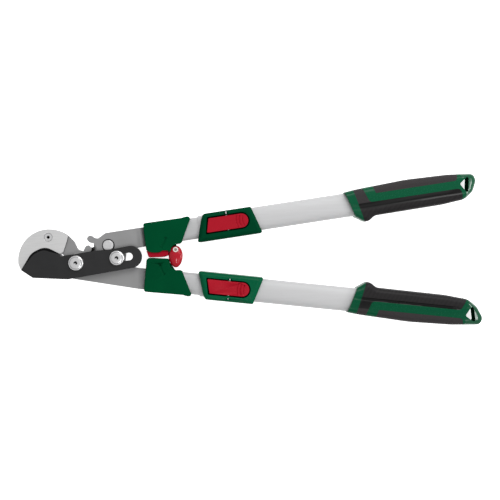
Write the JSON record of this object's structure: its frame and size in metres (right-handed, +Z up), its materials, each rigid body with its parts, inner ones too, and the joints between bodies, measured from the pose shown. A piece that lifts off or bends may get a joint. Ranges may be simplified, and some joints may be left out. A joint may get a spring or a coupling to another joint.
{
  "type": "geared bypass lopper",
  "caption": "Two-handed geared bypass lopper with a slotted black blade, hooked counter edge, telescopic oval tubes with rocker locks, soft grips and a swing latch.",
  "frame": {"origin": "centre of the bounding box's base, where the lopper rests on its back", "axes": "+X from the jaws to the grips, +Y to the upper handle, +Z up, out of the blade's front face"},
  "size_m": [0.6648, 0.2182, 0.038],
  "materials": {
    "black_steel": "black low-friction coating, satin",
    "grey_steel": "grey, fine brushed",
    "bright_edge": "light, brushed",
    "zinc_steel": "bright zinc plated",
    "aluminium": "satin anodised",
    "green_plastic": "dark green, fine texture",
    "grip_green": "mid green, satin",
    "red_plastic": "deep red, semi-gloss",
    "black_grip": "black soft moulding",
    "charcoal_grip": "charcoal soft moulding",
    "black_plastic": "black, smooth"
  },
  "bodies": {
    "lower_handle": {"lower_tang": "grey_steel", "pivot_bolt": "zinc_steel", "pivot_spacer": "zinc_steel", "pivot_nut": "zinc_steel", "gear_pin": "zinc_steel", "gear_pin_clip": "zinc_steel", "lower_boss": "green_plastic", "lower_tang_pin_front": "zinc_steel", "lower_tang_pin_rear": "zinc_steel", "lower_inner_tube": "aluminium", "lower_tube_glide": "black_plastic"},
    "blade": {"cutting_blade": "black_steel"},
    "hook": {"hook_carrier": "grey_steel", "hook_insert": "bright_edge", "insert_screw": "zinc_steel"},
    "upper_handle": {"upper_tang": "grey_steel", "slot_bolt": "zinc_steel", "slot_spacer": "zinc_steel", "upper_boss": "green_plastic", "handle_bumper": "red_plastic", "latch_screw": "zinc_steel", "upper_tang_pin_front": "zinc_steel", "upper_tang_pin_rear": "zinc_steel", "upper_inner_tube": "aluminium", "upper_tube_glide": "black_plastic"},
    "latch": {"latch_knob": "red_plastic"},
    "upper_grip": {"upper_outer_tube": "aluminium", "upper_lock_housing": "green_plastic", "upper_button_pin": "zinc_steel", "upper_button_spring": "zinc_steel", "upper_grip_core": "grip_green", "upper_grip_pad": "black_grip", "upper_grip_panel": "charcoal_grip"},
    "upper_button": {"upper_lock_button": "red_plastic", "upper_lock_pin": "zinc_steel"},
    "lower_grip": {"lower_outer_tube": "aluminium", "lower_lock_housing": "green_plastic", "lower_button_pin": "zinc_steel", "lower_button_spring": "zinc_steel", "lower_grip_core": "grip_green", "lower_grip_pad": "black_grip", "lower_grip_panel": "charcoal_grip"},
    "lower_button": {"lower_lock_button": "red_plastic", "lower_lock_pin": "zinc_steel"}
  },
  "joints": [
    {"name": "handle_open", "type": "hinge", "parent": "lower_handle", "child": "upper_handle", "pos_m": [-0.20296, 0.01885, 0.0235], "axis": [0, 0, 1], "range_deg": [0, 45]},
    {"name": "blade_swing", "type": "hinge", "parent": "lower_handle", "child": "blade", "pos_m": [-0.24786, -0.00525, 0.0285], "axis": [0, 0, 1], "range_deg": [0, 11.1]},
    {"name": "hook_swing", "type": "hinge", "parent": "lower_handle", "child": "hook", "pos_m": [-0.24786, -0.00525, 0.0285], "axis": [0, 0, 1], "range_deg": [-45.2, 0]},
    {"name": "latch_turn", "type": "hinge", "parent": "upper_handle", "child": "latch", "pos_m": [-0.10616, 0.01035, 0.0255], "axis": [0, 0, 1], "range_deg": [0, 80]},
    {"name": "upper_extend", "type": "slide", "parent": "upper_handle", "child": "upper_grip", "axis": [0.992, 0.1263, 0], "range_m": [0, 0.24]},
    {"name": "upper_lock_press", "type": "hinge", "parent": "upper_grip", "child": "upper_button", "pos_m": [-0.031, 0.04642, 0.0315], "axis": [-0.1263, 0.992, 0], "range_deg": [0, 5], "stiffness_Nm_per_rad": 1, "springref_deg": -5.73, "deforming": ["upper_button_spring"]},
    {"name": "lower_extend", "type": "slide", "parent": "lower_handle", "child": "lower_grip", "axis": [0.992, -0.1263, 0], "range_m": [0, 0.24]},
    {"name": "lower_lock_press", "type": "hinge", "parent": "lower_grip", "child": "lower_button", "pos_m": [-0.031, -0.04642, 0.0315], "axis": [0.1263, 0.992, 0], "range_deg": [0, 5], "stiffness_Nm_per_rad": 1, "springref_deg": -5.73, "deforming": ["lower_button_spring"]}
  ],
  "couplings": [
    {"joint": "blade_swing", "follows": "handle_open", "ratio": 0.245},
    {"joint": "hook_swing", "follows": "handle_open", "ratio": -1}
  ]
}
